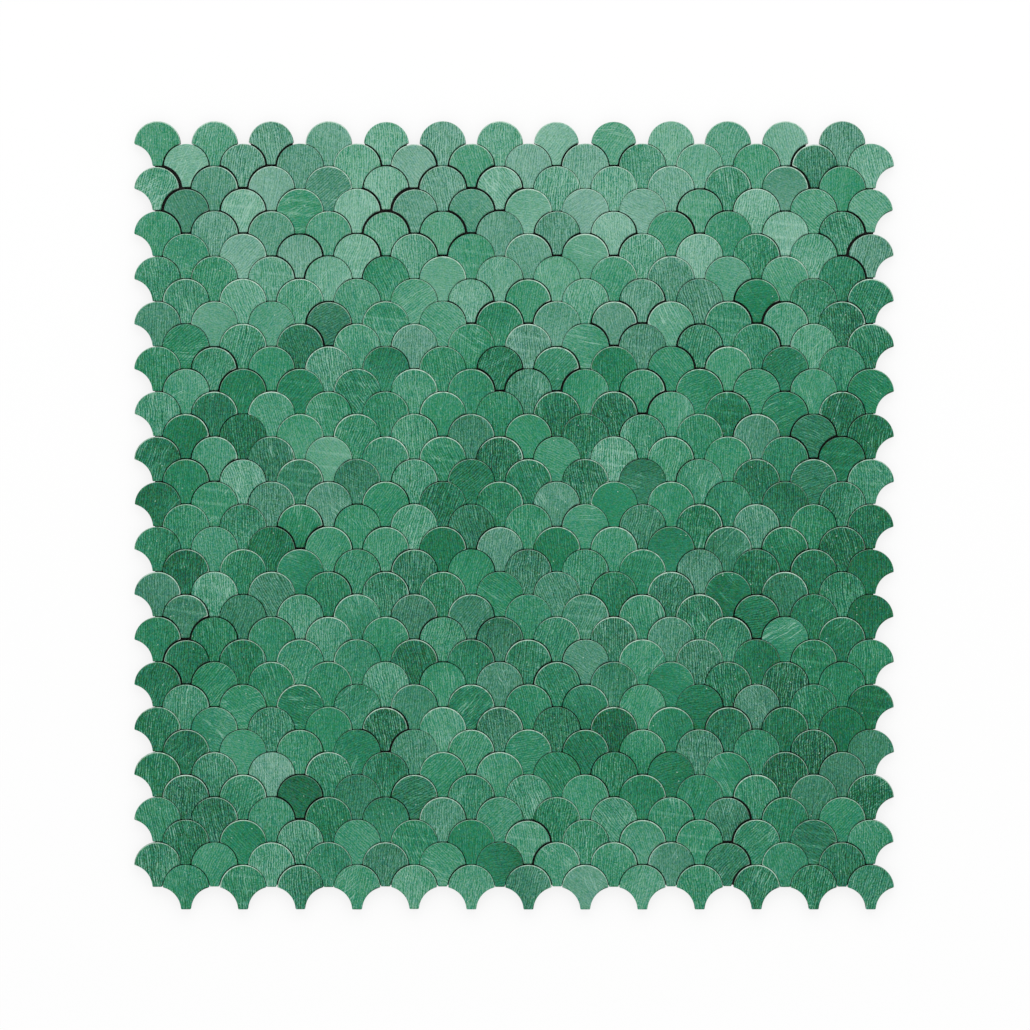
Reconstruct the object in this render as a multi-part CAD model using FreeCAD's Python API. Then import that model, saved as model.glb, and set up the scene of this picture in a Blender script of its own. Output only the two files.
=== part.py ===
# Fish scale mosaic sheet: rows of fan-shaped scales, staggered by half a pitch and
# bonded face up on a thin adhesive backing whose outline follows the scalloped edge.
# Units are millimetres. +Z is the face side, +Y points from the stems to the round heads.
import FreeCAD
import Part
import math
import os

# One scale
SCALE_WIDTH = 17.4  # across the round head
SCALE_HEIGHT = 16.75  # top of the head to the flat foot of the stem
STEM_WIDTH = 3.7  # narrowest width of the stem
SCALE_THICKNESS = 3.2
EDGE_BEVEL = 0.2  # eased rim around the face

# The sheet: as many whole scales as fit in a nominal twelve-inch square
SHEET_WIDTH_LIMIT = 304.8
SHEET_HEIGHT_LIMIT = 304.8
JOINT_GAP = 0.15  # open joint between neighbouring scales

# The backing
BACKING_THICKNESS = 0.8
BACKING_INSET = 0.8  # the backing stops this far inside the sheet's outline

# Sizes that follow
HEAD_RADIUS = SCALE_WIDTH / 2
FLANK_RADIUS = HEAD_RADIUS + JOINT_GAP  # hollow sides, concentric with the heads below
FOOT_DROP = SCALE_HEIGHT - HEAD_RADIUS  # centre of the head down to the foot
COLUMN_PITCH = SCALE_WIDTH + STEM_WIDTH + 2 * JOINT_GAP
ROW_PITCH = (SCALE_HEIGHT + JOINT_GAP) / 2
NARROWEST_SHEET = SCALE_WIDTH + COLUMN_PITCH / 2  # one column, its rows staggered
SHORTEST_SHEET = SCALE_HEIGHT + ROW_PITCH  # one plain row and one staggered row
COLUMNS = 1 + math.floor((SHEET_WIDTH_LIMIT - NARROWEST_SHEET) / COLUMN_PITCH)
ROWS = 2 + 2 * math.floor((SHEET_HEIGHT_LIMIT - SHORTEST_SHEET) / (2 * ROW_PITCH))
SHEET_HEIGHT = (ROWS - 1) * ROW_PITCH + SCALE_HEIGHT
BACKING_HEAD_RADIUS = HEAD_RADIUS - BACKING_INSET
BACKING_NOTCH_RADIUS = FLANK_RADIUS + BACKING_INSET
BACKING_FOOT_DROP = FOOT_DROP - BACKING_INSET

# Sides and turning directions
LEFT = -1
RIGHT = 1
ANTICLOCKWISE = 1
CLOCKWISE = -1


def point(x, y):
    return FreeCAD.Vector(x, y, 0)


def scale_centre(row, column):
    """Centre of a head. Row 0 is the top row, and odd rows are staggered to the right."""
    stagger = RIGHT if row % 2 else LEFT
    x = (column - (COLUMNS - 1) / 2) * COLUMN_PITCH + stagger * COLUMN_PITCH / 4
    y = SHEET_HEIGHT / 2 - HEAD_RADIUS - row * ROW_PITCH
    return point(x, y)


def flank_centre(centre, side):
    """Centre of a scale's hollow flank, which is where the next row's scale sits."""
    return centre + point(side * COLUMN_PITCH / 2, -ROW_PITCH)


def upper_crossing(centre_a, radius_a, centre_b, radius_b):
    """The higher of the two points where two circles cross."""
    apart = centre_b - centre_a
    along = (apart.Length**2 + radius_a**2 - radius_b**2) / (2 * apart.Length)
    across = math.sqrt(radius_a**2 - along**2)
    forward = apart / apart.Length
    upward = point(-forward.y, forward.x)
    if upward.y < 0:
        upward = -upward
    return centre_a + forward * along + upward * across


def tip(centre, side, head_radius, flank_radius):
    """The pointed corner where a head meets its hollow flank."""
    return upper_crossing(centre, head_radius, flank_centre(centre, side), flank_radius)


def foot_corner(centre, side, flank_radius, foot_drop):
    """The end of the flat foot on one side of a stem."""
    flank = flank_centre(centre, side)
    foot_y = centre.y - foot_drop
    reach = math.sqrt(flank_radius**2 - (foot_y - flank.y) ** 2)
    return point(flank.x - side * reach, foot_y)


def arc(centre, start, end, turn):
    """Arc about a centre from start to end, turning the given way."""
    first = math.atan2(start.y - centre.y, start.x - centre.x)
    last = math.atan2(end.y - centre.y, end.x - centre.x)
    swept = (turn * (last - first)) % (2 * math.pi)
    middle = first + turn * swept / 2
    radius = (start - centre).Length
    through = centre + point(math.cos(middle), math.sin(middle)) * radius
    return Part.Arc(start, through, end).toShape()


def line(start, end):
    return Part.LineSegment(start, end).toShape()


# Scales


def make_scale():
    """One scale with its head centred on the origin and its underside at Z 0."""
    centre = point(0, 0)
    left_tip = tip(centre, LEFT, HEAD_RADIUS, FLANK_RADIUS)
    right_tip = tip(centre, RIGHT, HEAD_RADIUS, FLANK_RADIUS)
    left_foot = foot_corner(centre, LEFT, FLANK_RADIUS, FOOT_DROP)
    right_foot = foot_corner(centre, RIGHT, FLANK_RADIUS, FOOT_DROP)
    outline = [
        arc(centre, right_tip, left_tip, ANTICLOCKWISE),
        arc(flank_centre(centre, LEFT), left_tip, left_foot, CLOCKWISE),
        line(left_foot, right_foot),
        arc(flank_centre(centre, RIGHT), right_foot, right_tip, CLOCKWISE),
    ]
    blank = Part.Face(Part.Wire(outline)).extrude(FreeCAD.Vector(0, 0, SCALE_THICKNESS))
    rim = [edge for edge in blank.Edges if edge.BoundBox.ZMin > SCALE_THICKNESS / 2]
    return blank.makeChamfer(EDGE_BEVEL, rim)


def make_row(scale, row):
    """The separate scales of one row, lying on the backing."""
    lift = FreeCAD.Vector(0, 0, BACKING_THICKNESS)
    places = [scale_centre(row, column) + lift for column in range(COLUMNS)]
    return Part.makeCompound([scale.translated(place) for place in places])


# Backing: its outline runs anticlockwise, arc by arc, a constant inset inside the scales


def backing_tip(centre, side):
    return tip(centre, side, BACKING_HEAD_RADIUS, BACKING_NOTCH_RADIUS)


def backing_foot_corner(centre, side):
    return foot_corner(centre, side, BACKING_NOTCH_RADIUS, BACKING_FOOT_DROP)


def backing_foot_middle(centre):
    return centre - point(0, BACKING_FOOT_DROP)


def backing_neck(centre, side):
    """Where the notch above a scale on the left or right edge meets that scale's head."""
    notch = centre + point(side * COLUMN_PITCH / 2, ROW_PITCH)
    return upper_crossing(centre, BACKING_HEAD_RADIUS, notch, BACKING_NOTCH_RADIUS)


def backing_shoulder(plain, staggered):
    """Where a head of the top row meets a head of the row below it."""
    return upper_crossing(plain, BACKING_HEAD_RADIUS, staggered, BACKING_HEAD_RADIUS)


def top_edge():
    """Heads of the two top rows, from right to left."""
    edges = []
    for column in range(COLUMNS - 1, 0, -1):
        plain = scale_centre(0, column)
        dip = scale_centre(1, column - 1)
        dip_start = backing_shoulder(plain, dip)
        dip_end = backing_shoulder(scale_centre(0, column - 1), dip)
        plain_start = backing_shoulder(plain, scale_centre(1, column))
        edges.append(arc(plain, plain_start, dip_start, ANTICLOCKWISE))
        edges.append(arc(dip, dip_start, dip_end, ANTICLOCKWISE))
    corner = scale_centre(0, 0)
    edges.append(arc(corner, dip_end, backing_tip(corner, LEFT), ANTICLOCKWISE))
    return edges


def left_edge():
    """Heads of the plain rows and the notches between them, downwards."""
    edges = []
    for row in range(0, ROWS - 2, 2):
        upper = scale_centre(row, 0)
        lower = scale_centre(row + 2, 0)
        neck = backing_neck(lower, LEFT)
        edges.append(arc(flank_centre(upper, LEFT), backing_tip(upper, LEFT), neck, CLOCKWISE))
        edges.append(arc(lower, neck, backing_tip(lower, LEFT), ANTICLOCKWISE))
    last = scale_centre(ROWS - 2, 0)
    foot = backing_foot_corner(last, LEFT)
    edges.append(arc(flank_centre(last, LEFT), backing_tip(last, LEFT), foot, CLOCKWISE))
    edges.append(line(foot, backing_foot_middle(last)))
    return edges


def bottom_edge():
    """Feet of the bottom row and the notches between them, from left to right."""
    edges = []
    notch_start = backing_foot_middle(scale_centre(ROWS - 2, 0))
    for column in range(COLUMNS):
        scale = scale_centre(ROWS - 1, column)
        left_foot = backing_foot_corner(scale, LEFT)
        right_foot = backing_foot_corner(scale, RIGHT)
        edges.append(arc(flank_centre(scale, LEFT), notch_start, left_foot, CLOCKWISE))
        edges.append(line(left_foot, right_foot))
        notch_start = right_foot
    last_tip = backing_tip(scale, RIGHT)
    edges.append(arc(flank_centre(scale, RIGHT), notch_start, last_tip, CLOCKWISE))
    return edges


def right_edge():
    """Heads of the staggered rows and the notches between them, upwards."""
    edges = []
    for row in range(ROWS - 1, 1, -2):
        lower = scale_centre(row, COLUMNS - 1)
        upper = scale_centre(row - 2, COLUMNS - 1)
        neck = backing_neck(lower, RIGHT)
        edges.append(arc(lower, backing_tip(lower, RIGHT), neck, ANTICLOCKWISE))
        edges.append(arc(flank_centre(upper, RIGHT), neck, backing_tip(upper, RIGHT), CLOCKWISE))
    first = scale_centre(1, COLUMNS - 1)
    shoulder = backing_shoulder(scale_centre(0, COLUMNS - 1), first)
    edges.append(arc(first, backing_tip(first, RIGHT), shoulder, ANTICLOCKWISE))
    return edges


def make_backing():
    outline = Part.Wire(top_edge() + left_edge() + bottom_edge() + right_edge())
    return Part.Face(outline).extrude(FreeCAD.Vector(0, 0, BACKING_THICKNESS))


os.makedirs("parts", exist_ok=True)
make_backing().exportStep("parts/adhesive_backing.step")
master_scale = make_scale()
for row in range(ROWS):
    make_row(master_scale, row).exportStep(f"parts/scale_row_{row + 1:02d}.step")
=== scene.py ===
# Green fish scale mosaic sheet: brushed metal scales on a dark self-adhesive backing
import math
import bpy
import numpy as np
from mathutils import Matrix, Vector


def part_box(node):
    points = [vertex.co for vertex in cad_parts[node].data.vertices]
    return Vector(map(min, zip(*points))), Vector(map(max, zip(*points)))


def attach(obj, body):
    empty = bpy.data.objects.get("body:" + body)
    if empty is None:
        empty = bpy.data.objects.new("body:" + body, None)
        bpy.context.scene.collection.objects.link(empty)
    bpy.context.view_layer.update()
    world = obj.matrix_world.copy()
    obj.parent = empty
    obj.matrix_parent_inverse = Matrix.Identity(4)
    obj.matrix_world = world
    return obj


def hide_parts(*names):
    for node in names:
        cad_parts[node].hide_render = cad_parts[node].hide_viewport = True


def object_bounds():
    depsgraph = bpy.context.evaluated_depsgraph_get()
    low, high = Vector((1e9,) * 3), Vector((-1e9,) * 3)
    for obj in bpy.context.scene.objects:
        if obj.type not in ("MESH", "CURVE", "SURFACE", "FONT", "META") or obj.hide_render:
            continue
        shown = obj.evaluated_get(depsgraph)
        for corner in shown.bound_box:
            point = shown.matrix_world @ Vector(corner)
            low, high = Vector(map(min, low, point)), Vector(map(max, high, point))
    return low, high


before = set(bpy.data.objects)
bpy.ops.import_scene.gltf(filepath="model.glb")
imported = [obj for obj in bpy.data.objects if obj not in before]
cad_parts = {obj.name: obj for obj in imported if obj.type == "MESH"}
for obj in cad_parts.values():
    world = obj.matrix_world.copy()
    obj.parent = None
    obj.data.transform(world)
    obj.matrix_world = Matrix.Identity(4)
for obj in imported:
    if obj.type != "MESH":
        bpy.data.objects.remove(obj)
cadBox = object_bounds()
mm = 0.001  # lengths below are in millimetres, and the scene is in metres
print("frame loaded:", len(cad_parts), "nodes")


# Sheet layout, read from the frame

def readLayout():
    rows = sorted(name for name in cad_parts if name.startswith("scale_row_"))
    boxes = [tuple(np.array(corner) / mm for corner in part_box(name)) for name in rows]
    (low, high), (nextLow, nextHigh) = boxes[0], boxes[1]
    columnPitch = 2 * (nextLow[0] - low[0])  # rows are staggered by half a pitch
    rowPitch = high[1] - nextHigh[1]
    rowWidth = high[0] - low[0]
    columns = int(rowWidth / columnPitch) + 1
    scaleWidth = rowWidth - (columns - 1) * columnPitch
    scaleHeight = high[1] - low[1]
    headRadius = scaleWidth / 2
    jointGap = 2 * rowPitch - scaleHeight
    return {
        "rows": rows,
        "boxes": boxes,
        "columns": columns,
        "columnPitch": columnPitch,
        "rowPitch": rowPitch,
        "headRadius": headRadius,
        "flankRadius": headRadius + jointGap,
        "footDrop": scaleHeight - headRadius,
        "jointGap": jointGap,
        "bottom": low[2],
        "top": high[2],
    }


sheet = readLayout()
print("layout:", len(sheet["rows"]), "rows of", sheet["columns"], "scales, joint",
      round(sheet["jointGap"], 3))


# One scale, as rings of points from its underside up to its face

scaleShape = {
    "headPoints": 35,
    "flankPoints": 13,
    "footPoints": 5,
    "cornerPoints": 3,  # points that round each corner off
    "cornerTrim": 0.4,  # how far from a corner its rounding starts
    "bevel": 0.2,  # rounded rim around the face
    "bevelAngles": (0, 30, 60, 90),  # from upright side to level face
    "rimReach": 0.6,  # the painted rim highlight ends within this distance
    "edgeReach": 1.2,  # and the darkening near the edge within this one
    "shadeAim": -72.0,  # degrees, which way the edges face that lie in shade
    "shadeFocus": 10,  # how closely they have to face it
    "footShade": 0.55,  # how much of that shade the foot has
    "trims": (0.0, -0.06, -0.04, 0.07, 0.28),  # how far inside the drawn edge scales are cut
    "trimShares": (0.20, 0.29, 0.22, 0.25, 0.04),
    "topTrimShares": (0.12, 0.32, 0.20, 0.12, 0.24),  # joints are wider in the upper rows
    "topRows": (0.6, 0.15),  # how far down the sheet that begins, and where it is complete
}


def onCircle(centre, radius, first, last, count):
    angles = np.linspace(first, last, count)
    return np.stack((centre[0] + radius * np.cos(angles), centre[1] + radius * np.sin(angles)), axis=1)


def roundedCorner(before, corner, after, count):
    share = np.linspace(0, 1, count + 2)[1:-1, None]
    return (1 - share) ** 2 * before + 2 * share * (1 - share) * corner + share**2 * after


def scaleOutline(inset):
    # anticlockwise from the right tip: head, left flank, foot, right flank
    head = sheet["headRadius"] - inset
    flank = sheet["flankRadius"] + inset
    footY = inset - sheet["footDrop"]
    rightCentre = np.array((sheet["columnPitch"] / 2, -sheet["rowPitch"]))
    apart = np.hypot(*rightCentre)
    along = (apart**2 + head**2 - flank**2) / (2 * apart)
    forward = rightCentre / apart
    tip = forward * along + np.array((-forward[1], forward[0])) * math.sqrt(head**2 - along**2)
    mirror = np.array((-1, 1))
    tipOnHead = math.atan2(tip[1], tip[0])
    tipOnFlank = math.atan2(tip[1] - rightCentre[1], tip[0] - rightCentre[0])
    footOnFlank = math.pi - math.asin((footY - rightCentre[1]) / flank)
    footCorner = rightCentre + flank * np.array((math.cos(footOnFlank), math.sin(footOnFlank)))
    trim = scaleShape["cornerTrim"]
    headRun = onCircle((0, 0), head, tipOnHead + trim / head, math.pi - tipOnHead - trim / head,
                       scaleShape["headPoints"])
    rightRun = onCircle(rightCentre, flank, footOnFlank - trim / flank, tipOnFlank + trim / flank,
                        scaleShape["flankPoints"])
    leftRun = rightRun[::-1] * mirror
    footX = footCorner[0] - min(trim, footCorner[0] / 2)
    footRun = np.stack((np.linspace(-footX, footX, scaleShape["footPoints"]),
                        np.full(scaleShape["footPoints"], footY)), axis=1)
    count = scaleShape["cornerPoints"]
    return np.concatenate((
        headRun,
        roundedCorner(headRun[-1], tip * mirror, leftRun[0], count),
        leftRun,
        roundedCorner(leftRun[-1], footCorner * mirror, footRun[0], count),
        footRun,
        roundedCorner(footRun[-1], footCorner, rightRun[0], count),
        rightRun,
        roundedCorner(rightRun[-1], tip, headRun[0], count),
    ))


def outwardNormals(outline):
    tangent = np.roll(outline, -1, axis=0) - np.roll(outline, 1, axis=0)
    normal = np.stack((tangent[:, 1], -tangent[:, 0]), axis=1)
    return normal / np.linalg.norm(normal, axis=1, keepdims=True)


def ringPlan():
    # inset from the scale's own edge, height, and slope of the surface's normal
    bevel = scaleShape["bevel"]
    bevelFoot = sheet["top"] - bevel
    plan = [(0.0, sheet["bottom"], 0.0)]
    for degrees in scaleShape["bevelAngles"]:
        slope = math.radians(degrees)
        plan.append((bevel - bevel * math.cos(slope), bevelFoot + bevel * math.sin(slope), slope))
    plan.append((scaleShape["rimReach"], sheet["top"], math.pi / 2))
    plan.append((scaleShape["edgeReach"], sheet["top"], math.pi / 2))
    return plan


def scalePoints(trim):
    points, normals, slopes, rims, downs = [], [], [], [], []
    aim = math.radians(scaleShape["shadeAim"])
    shadeAim = np.array((math.cos(aim), math.sin(aim)))
    for inset, height, slope in ringPlan():
        outline = scaleOutline(trim + inset)
        count = len(outline)
        points.append(np.column_stack((outline, np.full(count, height))))
        outward = outwardNormals(outline)
        normals.append(np.column_stack((outward * math.cos(slope), np.full(count, math.sin(slope)))))
        slopes.append(np.full(count, slope))
        rims.append(np.full(count, inset))
        shade = np.clip(outward @ shadeAim, 0, 1) ** scaleShape["shadeFocus"]
        atFoot = outline[:, 1] < trim + inset - sheet["footDrop"] + scaleShape["cornerTrim"]
        downs.append(np.where(atFoot, scaleShape["footShade"], 1.0) * shade)
    points.append(points[0].copy())  # the underside has its own corners, so that its rim stays crisp
    normals.append(np.tile((0.0, 0.0, -1.0), (count, 1)))
    slopes.append(slopes[0])
    rims.append(rims[0])
    downs.append(downs[0])
    return {
        "points": np.concatenate(points),
        "normals": np.concatenate(normals),
        "slopes": np.concatenate(slopes),
        "rims": np.concatenate(rims),
        "downs": np.concatenate(downs),
        "trim": trim,
    }


def scaleFaces():
    # material 0 is the face with its bevel, and material 1 the sides and the underside
    rings = len(ringPlan())
    count = len(scaleOutline(0.0))
    faces, slots = [], []
    for ring in range(rings - 1):
        low, high = ring * count, (ring + 1) * count
        for k in range(count):
            after = (k + 1) % count
            faces.append((low + k, low + after, high + after, high + k))
            slots.append(1 if ring == 0 else 0)
    faces.append(tuple(range((rings - 1) * count, rings * count)))
    slots.append(0)
    faces.append(tuple(range((rings + 1) * count - 1, rings * count - 1, -1)))
    slots.append(1)
    return faces, slots


cutScales = [scalePoints(trim) for trim in scaleShape["trims"]]
faceList, faceSlots = scaleFaces()
print("one scale:", len(cutScales[0]["points"]), "points,", len(faceList), "faces")


# How the scales differ from each other

scaleVariety = {
    "seed": 4127,
    "turnShare": 0.18,  # share of a scale's room in its joints that goes into turning, not slipping
    "slipAim": 90.0,  # degrees, which way scales mostly slip
    "slipSpread": 110.0,  # either side of it
    "slipPower": 0.3,  # below 1, most scales slip nearly as far as they can
    "tilt": 0.3,  # degrees, of the face
    "sunk": 0.06,  # how much lower than the highest a face may lie
    "tone": 0.395,  # 0 is deep green and 1 pale mint
    "toneSpread": 0.14,
    "toneLean": 0.042,  # from the middle of a scale to its edge
    "toneLimits": (0.05, 0.92),
    "toneAreas": (  # change of tone, and from where to where across or down the sheet it comes in
        (0.41, "down", 0.45, 0.02),  # painted sheen: rows near the top are paler, where the light from the top is reflected
        (0.10, "down", 0.85, 0.97),  # and the last few rows a little
        (-0.13, "across", 0.12, 0.0),  # the first column is darker
        (-0.21, "across", 0.7, 1.0),  # and the last few more so
    ),
    "paleShare": 0.06,  # scales well paler than the rest
    "paleLift": (0.12, 0.28),
    "greyShare": 0.24,  # scales that lean to slate
    "greyRest": (-0.5, 0.2),  # the same for the rest, where below 0 is a purer green
    "greyTone": (0.1, 0.45),  # less so below the second tone, and not at all below the first
    "greyDark": 0.03,  # and are a little darker for it
    "contrast": (0.58, 1.4),  # of the brush lines
    "contrastPower": 1.3,  # above 1, more scales have faint ones
    "darkContrast": 1.4,  # how much stronger the lines are on darker scales
    "darkBelow": 0.45,  # the tone where that begins
    "levelFade": 0.7,  # and how much fainter where they lie level
    "layers": 500,  # how far apart the scales' own slices of the noise may lie
    "markStrength": (0.5, 1.0),  # of grey, cross lines, scratches and bands, where a scale has them
    "brushSpread": 9.0,  # degrees about upright
    "strayShare": 0.22,  # scales brushed well off upright
    "strayTurn": (18.0, 90.0),  # by so many degrees
    "crossShare": 0.25,  # scales with a second set of lines across the first
    "scratchShare": 0.5,  # scales with long bright scratches
    "scratchTurn": 30.0,  # degrees between the scratches and the brushing
    "bandShare": 0.1,  # scales with pale polishing bands
    "rimAim": 88.0,  # degrees, where around the head the painted rim highlight is widest, facing the light from the top
    "rimAimSpread": 20.0,
    "rimPower": 0.4,  # below 1, it stays wide further round the head
    "highlightPower": 0.8,  # below 1, more scales have strong painted rim highlights
    "shadePower": 0.7,  # and much shaded edges
}


def smoothStep(low, high, value):
    share = np.clip((value - low) / (high - low), 0, 1)
    return share * share * (3 - 2 * share)


def scaleTone(rng, down, across):
    place = {"down": down, "across": across}
    tone = scaleVariety["tone"]
    for change, way, begins, complete in scaleVariety["toneAreas"]:
        tone += change * smoothStep(begins, complete, place[way])
    tone += rng.normal(0, scaleVariety["toneSpread"])
    if rng.random() < scaleVariety["paleShare"]:
        tone += rng.uniform(*scaleVariety["paleLift"])
    return float(np.clip(tone, *scaleVariety["toneLimits"]))


def sometimes(rng, share):
    return rng.uniform(*scaleVariety["markStrength"]) if rng.random() < share else 0.0


def turnedBy(local, degrees):
    # places measured across and along lines that lie this far off upright
    angle = math.radians(degrees)
    return local @ np.array(((math.cos(angle), -math.sin(angle)), (math.sin(angle), math.cos(angle))))


def placeScale(rng, cut, centre):
    points = cut["points"].copy()
    normals = cut["normals"].copy()
    local = points[:, :2].copy()
    room = sheet["jointGap"] / 2 + cut["trim"]  # a scale moves no further than its half of the joint
    turn = rng.uniform(-1, 1) * scaleVariety["turnShare"] * room / sheet["headRadius"]
    spin = np.array(((math.cos(turn), -math.sin(turn)), (math.sin(turn), math.cos(turn))))
    points[:, :2] = local @ spin.T
    normals[:, :2] = normals[:, :2] @ spin.T
    lean = np.radians(rng.uniform(-1, 1, 2) * scaleVariety["tilt"])
    rise = local @ lean
    highest = rise.max() + rng.uniform(0, scaleVariety["sunk"])
    upper = points[:, 2] > (sheet["bottom"] + sheet["top"]) / 2
    points[upper, 2] += (rise - highest)[upper]
    onFace = np.isclose(cut["slopes"], math.pi / 2)
    normals[onFace, :2] -= lean
    slip = (1 - scaleVariety["turnShare"]) * room * rng.random() ** scaleVariety["slipPower"]
    heading = math.radians(scaleVariety["slipAim"] + rng.uniform(-1, 1) * scaleVariety["slipSpread"])
    points[:, :2] += centre + slip * np.array((math.cos(heading), math.sin(heading)))
    return points, normals


def dressScale(rng, cut, down, across):
    local = cut["points"][:, :2]
    count = len(local)
    toneLean = rng.normal(0, scaleVariety["toneLean"], 2) / sheet["headRadius"]
    ownTone = scaleTone(rng, down, across)
    grey = sometimes(rng, scaleVariety["greyShare"]) or rng.uniform(*scaleVariety["greyRest"])
    if grey > 0:
        grey *= smoothStep(*scaleVariety["greyTone"], ownTone)
    tone = ownTone - scaleVariety["greyDark"] * max(grey, 0) + local @ toneLean
    low, high = scaleVariety["contrast"]
    contrast = low + (high - low) * rng.random() ** scaleVariety["contrastPower"]
    contrast *= 1 + scaleVariety["darkContrast"] * max(scaleVariety["darkBelow"] - ownTone, 0)
    brush = rng.normal(0, scaleVariety["brushSpread"])
    if rng.random() < scaleVariety["strayShare"]:
        stray = rng.uniform(*scaleVariety["strayTurn"])
        brush += rng.choice((-1, 1)) * stray
        contrast *= 1 - scaleVariety["levelFade"] * stray / 90
    scratch = brush + rng.normal(0, scaleVariety["scratchTurn"])
    layer = rng.uniform(0, scaleVariety["layers"])
    scratchLayer = layer + scaleVariety["layers"] / 2
    crossed = sometimes(rng, scaleVariety["crossShare"])
    scratched = sometimes(rng, scaleVariety["scratchShare"])
    banded = sometimes(rng, scaleVariety["bandShare"])
    # painted highlight on the upper rim of each head, where light from the top would catch the bevel
    aim = math.radians(rng.normal(scaleVariety["rimAim"], scaleVariety["rimAimSpread"]))
    around = np.arctan2(local[:, 1], local[:, 0])
    litRim = np.clip(np.cos(around - aim), 0, 1) ** scaleVariety["rimPower"] * (local[:, 1] > 0)
    litRim *= rng.random() ** scaleVariety["highlightPower"]
    shaded = cut["downs"] * rng.random() ** scaleVariety["shadePower"]
    return {
        "brushPlace": np.column_stack((turnedBy(local, brush), np.full(count, layer))),
        "scratchPlace": np.column_stack((turnedBy(local, scratch), np.full(count, scratchLayer))),
        "scalePlace": np.column_stack((local, np.full(count, layer))),
        "scaleTone": np.column_stack((tone, np.full(count, grey), np.full(count, contrast))),
        "scaleMarks": np.tile((crossed, scratched, banded), (count, 1)),
        "scaleRim": np.column_stack((cut["rims"], litRim, shaded)),
    }


def keepInside(points):
    # a scale at the sheet's edge slips inwards only
    for axis in (0, 1):
        over = points[:, axis].max() - cadBox[1][axis] / mm
        under = cadBox[0][axis] / mm - points[:, axis].min()
        points[:, axis] += max(under, 0) - max(over, 0)


def rowTrimShares(down):
    atTop = smoothStep(*scaleShape["topRows"], down)
    below = np.array(scaleShape["trimShares"])
    above = np.array(scaleShape["topTrimShares"])
    return (1 - atTop) * below + atTop * above


def makeRow(number, rng, faceMaterial, sideMaterial):
    name = sheet["rows"][number]
    low, high = sheet["boxes"][number]
    down = number / (len(sheet["rows"]) - 1)
    trimShares = rowTrimShares(down)
    points, normals, dress, faces = [], [], [], []
    for column in range(sheet["columns"]):
        centre = np.array((low[0] + sheet["headRadius"] + column * sheet["columnPitch"],
                           high[1] - sheet["headRadius"]))
        atEdge = number in (0, len(sheet["rows"]) - 1) or column in (0, sheet["columns"] - 1)
        cut = cutScales[rng.choice(len(cutScales), p=trimShares)]
        if atEdge and cut["trim"] < 0:
            cut = cutScales[0]  # none reaches past the sheet's edge
        placed, turned = placeScale(rng, cut, centre)
        keepInside(placed)
        points.append(placed)
        normals.append(turned)
        dress.append(dressScale(rng, cut, down, column / (sheet["columns"] - 1)))
        first = column * len(placed)
        faces.extend(tuple(first + k for k in face) for face in faceList)
    mesh = bpy.data.meshes.new(f"brushed_{name}")
    mesh.from_pydata((np.concatenate(points) * mm).tolist(), [], faces)
    mesh.materials.append(faceMaterial)
    mesh.materials.append(sideMaterial)
    mesh.polygons.foreach_set("material_index", np.tile(faceSlots, sheet["columns"]).astype(np.int32))
    mesh.polygons.foreach_set("use_smooth", np.ones(len(faces), dtype=bool))
    for label in dress[0]:
        channel = mesh.attributes.new(label, "FLOAT_VECTOR", "POINT")
        values = np.concatenate([scale[label] for scale in dress])
        channel.data.foreach_set("vector", values.astype(np.float32).ravel())
    normals = np.concatenate(normals)
    normals /= np.linalg.norm(normals, axis=1, keepdims=True)
    mesh.normals_split_custom_set_from_vertices(normals.tolist())
    piece = bpy.data.objects.new(f"brushed_{name}", mesh)
    bpy.context.scene.collection.objects.link(piece)
    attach(piece, "root")
    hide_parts(name)


# Node helpers

def addNode(tree, kind, inputs=None, **settings):
    node = tree.nodes.new(kind)
    for key, value in settings.items():
        setattr(node, key, value)
    for key, value in (inputs or {}).items():
        feed(tree, node.inputs[key], value)
    return node


def feed(tree, socket, value):
    if isinstance(value, bpy.types.NodeSocket):
        tree.links.new(value, socket)
    else:
        socket.default_value = value


def maths(tree, operation, first, second=0.0):
    return addNode(tree, "ShaderNodeMath", {0: first, 1: second}, operation=operation).outputs[0]


def total(tree, *values):
    result = values[0]
    for value in values[1:]:
        result = maths(tree, "ADD", result, value)
    return result


def product(tree, *values):
    result = values[0]
    for value in values[1:]:
        result = maths(tree, "MULTIPLY", result, value)
    return result


def swing(tree, value, strength):
    return maths(tree, "MULTIPLY", maths(tree, "SUBTRACT", value, 0.5), strength)


def remap(tree, value, fromLow, fromHigh, toLow=0.0, toHigh=1.0):
    node = addNode(tree, "ShaderNodeMapRange", {0: value, 1: fromLow, 2: fromHigh, 3: toLow, 4: toHigh})
    return node.outputs[0]


def mixColour(tree, share, first, second):
    node = addNode(tree, "ShaderNodeMix", data_type="RGBA")
    for name, value in (("Factor_Float", share), ("A_Color", first), ("B_Color", second)):
        feed(tree, next(s for s in node.inputs if s.identifier == name), value)
    return next(s for s in node.outputs if s.identifier == "Result_Color")


def noise(tree, vector, detail=1.0, scale=1.0):
    node = addNode(tree, "ShaderNodeTexNoise", {"Vector": vector, "Scale": scale, "Detail": detail})
    return node.outputs["Fac"]


def stretched(tree, vector, across, along, layer=1.0):
    scale = (across, along, layer)
    return addNode(tree, "ShaderNodeVectorMath", {0: vector, 1: scale}, operation="MULTIPLY").outputs[0]


def cells(tree, vector, across, along):
    # a grid with so many cells to the millimetre
    scaled = stretched(tree, vector, across, along)
    return addNode(tree, "ShaderNodeVectorMath", {0: scaled}, operation="FLOOR").outputs[0]


def together(tree, x, y, z):
    return addNode(tree, "ShaderNodeCombineXYZ", {0: x, 1: y, 2: z}).outputs[0]


def randomValue(tree, vector):
    return addNode(tree, "ShaderNodeTexWhiteNoise", {"Vector": vector}).outputs["Value"]


def attribute(tree, name):
    return addNode(tree, "ShaderNodeAttribute", attribute_name=name).outputs["Vector"]


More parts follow.
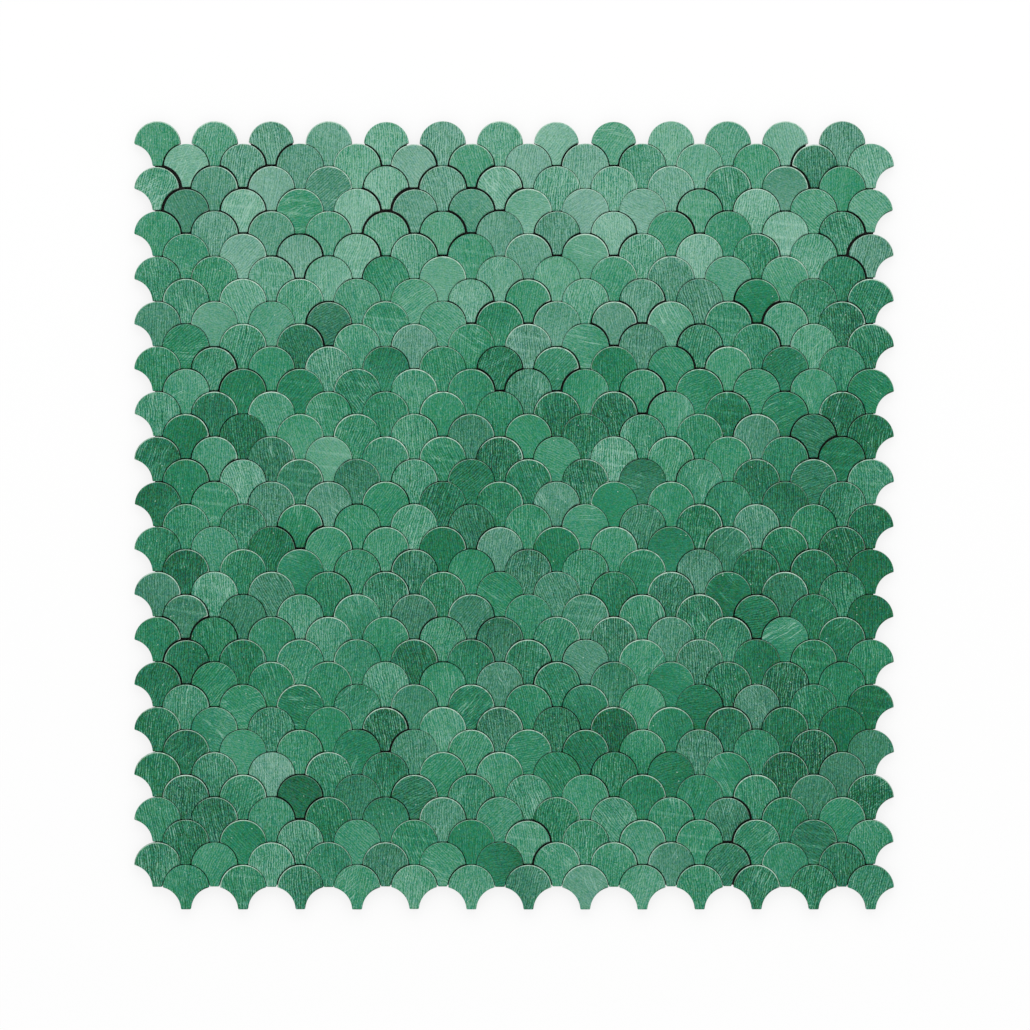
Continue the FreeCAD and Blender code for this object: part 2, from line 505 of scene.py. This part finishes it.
def parts(tree, vector):
    return addNode(tree, "ShaderNodeSeparateXYZ", {0: vector}).outputs


def newMaterial(name):
    material = bpy.data.materials.new(name)
    material.use_nodes = True
    tree = material.node_tree
    tree.nodes.clear()
    output = addNode(tree, "ShaderNodeOutputMaterial")
    return material, tree, output


# Brushed streaks, shared by the faces and the sawn sides

streakShape = {
    "fineLines": 1.15,  # to a millimetre
    "broadLines": 0.9,
    "lineLength": 5.0,  # millimetres
    "bend": 0.4,
    "bendScale": (0.16, 0.16),  # of the noise that bends the lines
    "bendReach": 4.0,  # millimetres from side to side, at a bend of 1
    "driftScale": (0.9, 0.15),
    "drift": 8.0,  # radians, how far lines stray from even spacing
    "strips": 3.0,  # side by side in one line
    "runShift": 7.0,  # how far apart runs in neighbouring strips may begin
    "skew": 0.45,  # lines don't all end level
    "broadRange": (0.3, 0.7),
    "broadLayer": 37.0,  # slices of the noise
    "scratchLayer": 71.0,
    "scratchLines": 2.5,  # for each fine line
    "scratchRange": (0.59, 0.69),
    "patchScale": (0.2, 0.12, 1.7),  # scratches come in patches
    "patchRange": (0.45, 0.6),
}


def makeStreakGroup():
    group = bpy.data.node_groups.new("brushedStreaks", "ShaderNodeTree")
    sockets = group.interface
    sockets.new_socket("Place", in_out="INPUT", socket_type="NodeSocketVector")
    for label, key in (("Fine Lines", "fineLines"), ("Broad Lines", "broadLines"),
                       ("Line Length", "lineLength"), ("Bend", "bend")):
        socket = sockets.new_socket(label, in_out="INPUT", socket_type="NodeSocketFloat")
        socket.default_value = streakShape[key]
    for label in ("Fine", "Hatch", "Broad", "Scratch"):
        sockets.new_socket(label, in_out="OUTPUT", socket_type="NodeSocketFloat")
    given = addNode(group, "NodeGroupInput").outputs
    result = addNode(group, "NodeGroupOutput").inputs
    wander = noise(group, stretched(group, given["Place"], *streakShape["bendScale"]))
    wander = product(group, swing(group, wander, streakShape["bendReach"]), given["Bend"])
    x, y, seed = parts(group, given["Place"])
    across = maths(group, "ADD", x, wander)
    along = maths(group, "DIVIDE", y, given["Line Length"])

    # evenly spaced lines that drift sideways
    drift = noise(group, stretched(group, given["Place"], *streakShape["driftScale"]))
    drift = swing(group, drift, streakShape["drift"])
    phase = total(group, product(group, across, given["Fine Lines"], 2 * math.pi), drift)
    hatch = remap(group, maths(group, "SINE", phase), -1.0, 1.0)

    # each short run of a line is pressed in more or less deeply
    strip = maths(group, "FLOOR", product(group, across, given["Fine Lines"], streakShape["strips"]))
    start = product(group, randomValue(group, together(group, strip, seed, 0.0)), streakShape["runShift"])
    run = maths(group, "FLOOR", total(group, along, start))
    depth = randomValue(group, together(group, strip, run, seed))
    fine = total(group, 0.5, product(group, swing(group, hatch, 1.0), depth))

    def lines(density, layer, detail):
        level = total(group, along, product(group, across, streakShape["skew"], density))
        place = together(group, product(group, across, density), level, total(group, seed, layer))
        return noise(group, place, detail)

    broad = lines(given["Broad Lines"], streakShape["broadLayer"], 1.0)
    broad = remap(group, broad, *streakShape["broadRange"])
    patch = noise(group, stretched(group, given["Place"], *streakShape["patchScale"]))
    scratchLines = product(group, given["Fine Lines"], streakShape["scratchLines"])
    scratch = lines(scratchLines, streakShape["scratchLayer"], 0.0)
    scratch = remap(group, scratch, *streakShape["scratchRange"])
    scratch = product(group, scratch, remap(group, patch, *streakShape["patchRange"]))
    for label, value in (("Fine", fine), ("Hatch", hatch), ("Broad", broad), ("Scratch", scratch)):
        group.links.new(value, result[label])
    return group


streakGroup = makeStreakGroup()


def brushed(tree, **inputs):
    node = addNode(tree, "ShaderNodeGroup", node_tree=streakGroup)
    for label, value in inputs.items():
        feed(tree, node.inputs[label.replace("_", " ")], value)
    return node.outputs


# Finishes

faceFinish = {
    "greens": (  # place between the deepest and the palest, and colour
        (0.0, (0.0, 0.038, 0.014, 1)),
        (0.15, (0.001, 0.079, 0.028, 1)),
        (0.47, (0.017, 0.230, 0.117, 1)),
        (0.85, (0.220, 0.448, 0.340, 1)),
        (1.0, (0.310, 0.540, 0.430, 1)),
    ),
    "greenStart": 0.15,  # the place of tone 0 among them
    "greenSpan": 0.7,  # and how far from it tone 1 lies
    "darkSlate": (0.003, 0.036, 0.024, 1),
    "paleSlate": (0.180, 0.350, 0.295, 1),
    "slate": 0.4,  # largest share of it in a scale
    "pureGreen": (0.002, 0.235, 0.085, 1),
    "pure": 0.24,  # and of this green
    # colour of the painted highlight on the upper rims
    "paintedHighlight": (0.545, 0.705, 0.595, 1),
    "fleck": (0.23, 0.21, 0.17, 1),
    "shaded": (0.012, 0.026, 0.018, 1),
    "shadeReach": (0.2, 0.6),  # from the edge, where shade begins to fade and where it ends
    "edgeDark": (0.020, 0.050, 0.032, 1),
    "edgeDarkShare": 0.4,
    "edgeDarkReach": 0.7,
    "edgeDarkScale": (0.5, 0.5, 1.3),
    "edgeDarkRange": (0.5, 0.7),
    "fine": 0.75,  # how far the fine lines change the tone
    "broad": 0.05,
    "grain": 0.49,  # and the grain between them
    "grainCells": (3.6, 2.2),  # to a millimetre, across and along the brushing
    "grainContrast": (0.5, 1.5),  # grain shows on faintly brushed scales too
    "flecks": 0.18,
    "fleckShare": 0.3,  # of the grains
    "warmTint": (0.070, 0.220, 0.020, 1),
    "coolTint": (0.040, 0.200, 0.280, 1),
    "tint": 0.15,
    "tintCells": (1.6, 1.4),
    "spark": (0.42, 0.59, 0.49, 1),
    "sparkCells": (3.0, 2.6),
    "sparkShare": 0.0016,  # of those cells
    "cloud": 0.06,  # slow change of tone over a face
    "cloudScale": (0.12, 0.08),
    "scratch": 0.5,
    "scratchLength": 12.0,
    "scratchBend": 0.45,
    "cross": 0.3,
    "band": 0.2,
    "bandTurns": (0.15, 1.2),  # radians to a millimetre, across and up
    "bandRange": (0.7, 1.0),
    "rimWidth": (0.18, 0.54),  # of the painted rim highlight, from the faintest to the strongest scale
    "rimStart": (0.03, 0.12),  # and where it comes in at the edge
    "rimSoft": 0.5,  # share of its width where it begins to fade
    "faintHighlightPower": 0.7,  # below 1, faint painted rim highlights still show
    "highlightBreakScale": (0.7, 0.7, 0.9),  # the painted highlight is broken unevenly along the rim
    "highlightBreakRange": (0.3, 0.55),
    "highlightBreakLeast": 0.4,
    "roughness": (0.38, 0.5),
    "metallic": 0.85,
    "coat": 0.04,
    "coatRoughness": 0.3,
    "bump": 0.2,
    "bumpDepth": 0.02,  # millimetres
}


def bandMask(tree, place):
    # pale polishing bands that lie nearly level
    x, y, seed = parts(tree, place)
    across, up = faceFinish["bandTurns"]
    phase = total(tree, product(tree, y, up), product(tree, x, across), seed)
    return remap(tree, maths(tree, "SINE", phase), *faceFinish["bandRange"])


def makeFaceMaterial():
    material, tree, output = newMaterial("brushedGreenMetal")
    brushPlace = attribute(tree, "brushPlace")
    tone, grey, contrast = parts(tree, attribute(tree, "scaleTone"))
    crossed, scratched, banded = parts(tree, attribute(tree, "scaleMarks"))
    rim, litRim, shaded = parts(tree, attribute(tree, "scaleRim"))
    streaks = brushed(tree, Place=brushPlace)
    crossStreaks = brushed(tree, Place=attribute(tree, "scratchPlace"), Bend=faceFinish["scratchBend"],
                           Line_Length=faceFinish["scratchLength"])
    bands = bandMask(tree, attribute(tree, "scalePlace"))
    speck = cells(tree, brushPlace, *faceFinish["grainCells"])
    grain = randomValue(tree, speck)
    flecks = randomValue(tree, stretched(tree, speck, 1.0, 1.0, 2.0))  # another slice than the grain's
    tint = randomValue(tree, cells(tree, brushPlace, *faceFinish["tintCells"]))
    spark = randomValue(tree, cells(tree, brushPlace, *faceFinish["sparkCells"]))
    spark = remap(tree, spark, 1 - faceFinish["sparkShare"], 1.0)
    cloud = noise(tree, stretched(tree, brushPlace, *faceFinish["cloudScale"]))
    lines = total(tree, swing(tree, streaks["Fine"], faceFinish["fine"]),
                  swing(tree, streaks["Broad"], faceFinish["broad"]),
                  product(tree, swing(tree, crossStreaks["Fine"], faceFinish["cross"]), crossed))
    grainContrast = remap(tree, contrast, 0.0, 2.0, *faceFinish["grainContrast"])
    level = total(tree, tone, product(tree, lines, contrast), swing(tree, cloud, faceFinish["cloud"]),
                  product(tree, swing(tree, grain, faceFinish["grain"]), grainContrast),
                  product(tree, crossStreaks["Scratch"], scratched, faceFinish["scratch"]),
                  product(tree, bands, banded, faceFinish["band"]))
    green = total(tree, product(tree, level, faceFinish["greenSpan"]), faceFinish["greenStart"])
    ramp = addNode(tree, "ShaderNodeValToRGB", {0: green})
    stops = ramp.color_ramp.elements
    stops.remove(stops[1])
    stops[0].position, stops[0].color = faceFinish["greens"][0]
    for place, colour in faceFinish["greens"][1:]:
        stops.new(place).color = colour
    slate = mixColour(tree, remap(tree, level, 0.0, 1.0), faceFinish["darkSlate"], faceFinish["paleSlate"])
    pure = remap(tree, grey, 0.0, scaleVariety["greyRest"][0], 0.0, faceFinish["pure"])
    colour = mixColour(tree, pure, ramp.outputs["Color"], faceFinish["pureGreen"])
    colour = mixColour(tree, remap(tree, grey, 0.0, 1.0, 0.0, faceFinish["slate"]), colour, slate)
    flecks = remap(tree, flecks, 1 - faceFinish["fleckShare"], 1.0, 0.0, faceFinish["flecks"])
    colour = mixColour(tree, flecks, colour, faceFinish["fleck"])
    colour = mixColour(tree, spark, colour, faceFinish["spark"])
    for limit, name in ((1.0, "warmTint"), (0.0, "coolTint")):
        share = remap(tree, tint, 0.5, limit, 0.0, faceFinish["tint"])
        colour = mixColour(tree, share, colour, faceFinish[name])
    # the face is darker in patches near its edge
    edgeDark = noise(tree, stretched(tree, brushPlace, *faceFinish["edgeDarkScale"]), detail=2.0)
    edgeDark = remap(tree, edgeDark, *faceFinish["edgeDarkRange"])
    nearEdge = remap(tree, rim, 0.0, faceFinish["edgeDarkReach"], faceFinish["edgeDarkShare"], 0.0)
    colour = mixColour(tree, product(tree, edgeDark, nearEdge), colour, faceFinish["edgeDark"])
    shade = product(tree, shaded, remap(tree, rim, *faceFinish["shadeReach"], 1.0, 0.0))
    colour = mixColour(tree, shade, colour, faceFinish["shaded"])
    # painted highlight on the upper rims of the heads
    width = remap(tree, litRim, 0.0, 1.0, *faceFinish["rimWidth"])
    highlightBreaks = noise(tree, stretched(tree, brushPlace, *faceFinish["highlightBreakScale"]))
    highlightBreaks = remap(tree, highlightBreaks, *faceFinish["highlightBreakRange"], faceFinish["highlightBreakLeast"], 1.0)
    highlightShare = remap(tree, rim, product(tree, width, faceFinish["rimSoft"]), width, 1.0, 0.0)
    highlightShare = product(tree, highlightShare, maths(tree, "POWER", litRim, faceFinish["faintHighlightPower"]), highlightBreaks,
                   remap(tree, rim, *faceFinish["rimStart"]))
    colour = mixColour(tree, highlightShare, colour, faceFinish["paintedHighlight"])
    roughness = remap(tree, streaks["Hatch"], 0.0, 1.0, *faceFinish["roughness"])
    bump = addNode(tree, "ShaderNodeBump", {"Height": streaks["Hatch"], "Strength": faceFinish["bump"],
                                            "Distance": faceFinish["bumpDepth"] * mm})
    shader = addNode(tree, "ShaderNodeBsdfPrincipled", {
        "Base Color": colour, "Roughness": roughness, "Metallic": faceFinish["metallic"],
        "Coat Weight": faceFinish["coat"], "Coat Roughness": faceFinish["coatRoughness"],
        "Normal": bump.outputs["Normal"]})
    tree.links.new(shader.outputs[0], output.inputs["Surface"])
    return material


sideFinish = {
    "dark": (0.018, 0.013, 0.010, 1),
    "light": (0.060, 0.044, 0.034, 1),
    "lines": 2.0,  # saw lines to a millimetre
    "lineLength": 0.6,
    "roughness": 0.55,
    "metallic": 0.3,
}


def makeSideMaterial():
    material, tree, output = newMaterial("sawnScaleSide")
    streaks = brushed(tree, Place=attribute(tree, "brushPlace"), Fine_Lines=sideFinish["lines"],
                      Line_Length=sideFinish["lineLength"])
    colour = mixColour(tree, streaks["Fine"], sideFinish["dark"], sideFinish["light"])
    shader = addNode(tree, "ShaderNodeBsdfPrincipled", {
        "Base Color": colour, "Roughness": sideFinish["roughness"], "Metallic": sideFinish["metallic"]})
    tree.links.new(shader.outputs[0], output.inputs["Surface"])
    return material


backingFinish = {
    "dark": (0.010, 0.009, 0.008, 1),
    "light": (0.026, 0.023, 0.021, 1),
    "roughness": 0.7,
    "grain": 1.6,  # grains to a millimetre
    "grainRange": (0.35, 0.65),
    "bump": 0.3,
    "bumpDepth": 0.05,  # millimetres
}


def makeBackingMaterial():
    material, tree, output = newMaterial("adhesiveBacking")
    place = addNode(tree, "ShaderNodeTexCoord").outputs["Object"]
    grain = noise(tree, place, detail=3.0, scale=backingFinish["grain"] / mm)
    share = remap(tree, grain, *backingFinish["grainRange"])
    colour = mixColour(tree, share, backingFinish["dark"], backingFinish["light"])
    bump = addNode(tree, "ShaderNodeBump", {"Height": grain, "Strength": backingFinish["bump"],
                                            "Distance": backingFinish["bumpDepth"] * mm})
    shader = addNode(tree, "ShaderNodeBsdfPrincipled", {
        "Base Color": colour, "Roughness": backingFinish["roughness"], "Normal": bump.outputs["Normal"]})
    tree.links.new(shader.outputs[0], output.inputs["Surface"])
    return material


# Build the sheet

faceMaterial = makeFaceMaterial()
sideMaterial = makeSideMaterial()
rng = np.random.default_rng(scaleVariety["seed"])
for number in range(len(sheet["rows"])):
    makeRow(number, rng, faceMaterial, sideMaterial)
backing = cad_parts["adhesive_backing"]
backing.data.materials.clear()
backing.data.materials.append(makeBackingMaterial())
print("scales made:", len(sheet["rows"]) * sheet["columns"])


# Studio: pale floor, soft light from the top of the picture, camera straight above

studio = {
    "floorSize": 8.0,  # metres
    "floorColour": (0.95, 0.95, 0.95, 1),
    "floorGlow": 0.8,  # share of plain white that the camera sees in the floor
    "skyStrength": 0.87,
    "keyPower": 7.0,
    "keyPlace": (0.1, 1.1, 0.9),
    "keySize": (1.9, 1.1),  # large enough to look no brighter than the sky in the metal
    "pictureWidth": 386.2,  # millimetres across the picture at the scales' face
    "pictureCentre": (0.33, 0.12),
    "lens": 220.0,
    "sensorWidth": 36.0,
    "farthestSeen": 100,  # metres from the camera
}


def rayIsSeen(tree):
    path = addNode(tree, "ShaderNodeLightPath")
    seen = maths(tree, "MAXIMUM", path.outputs["Is Camera Ray"], path.outputs["Is Glossy Ray"])
    return maths(tree, "MAXIMUM", seen, path.outputs["Is Transmission Ray"])


def makeFloor():
    half = studio["floorSize"] / 2
    mesh = bpy.data.meshes.new("floor")
    corners = [(-half, -half, 0), (half, -half, 0), (half, half, 0), (-half, half, 0)]
    mesh.from_pydata(corners, [], [(0, 1, 2, 3)])
    floor = bpy.data.objects.new("floor", mesh)
    bpy.context.scene.collection.objects.link(floor)
    material, tree, output = newMaterial("paleFloor")
    plain = addNode(tree, "ShaderNodeBsdfDiffuse", {"Color": studio["floorColour"]})
    glow = addNode(tree, "ShaderNodeEmission", {"Color": (1, 1, 1, 1), "Strength": 1.0})
    share = product(tree, rayIsSeen(tree), studio["floorGlow"])
    mixed = addNode(tree, "ShaderNodeMixShader", {0: share, 1: plain.outputs[0], 2: glow.outputs[0]})
    tree.links.new(mixed.outputs[0], output.inputs["Surface"])
    mesh.materials.append(material)


def makeWorld():
    world = bpy.data.worlds.new("studioWhite")
    bpy.context.scene.world = world
    world.use_nodes = True
    tree = world.node_tree
    tree.nodes.clear()
    output = addNode(tree, "ShaderNodeOutputWorld")
    strength = remap(tree, rayIsSeen(tree), 0.0, 1.0, studio["skyStrength"], 1.0)
    sky = addNode(tree, "ShaderNodeBackground", {"Color": (1, 1, 1, 1), "Strength": strength})
    tree.links.new(sky.outputs[0], output.inputs["Surface"])


def makeKeyLight():
    data = bpy.data.lights.new("topPanel", "AREA")
    data.shape = "RECTANGLE"
    data.size, data.size_y = studio["keySize"]
    data.energy = studio["keyPower"]
    light = bpy.data.objects.new("topPanel", data)
    light.location = studio["keyPlace"]
    light.rotation_euler = (-Vector(studio["keyPlace"])).to_track_quat("-Z", "Y").to_euler()
    light.visible_camera = False
    bpy.context.scene.collection.objects.link(light)


def makeCamera():
    data = bpy.data.cameras.new("camera")
    data.sensor_width = studio["sensorWidth"]
    data.lens = studio["lens"]
    distance = studio["pictureWidth"] * mm * data.lens / data.sensor_width
    camera = bpy.data.objects.new("camera", data)
    x, y = studio["pictureCentre"]
    camera.location = (x * mm, y * mm, sheet["top"] * mm + distance)
    data.clip_end = studio["farthestSeen"]
    bpy.context.scene.collection.objects.link(camera)
    bpy.context.scene.camera = camera


makeFloor()
makeWorld()
makeKeyLight()
makeCamera()
bpy.context.scene.view_settings.view_transform = "Standard"
print("studio ready")
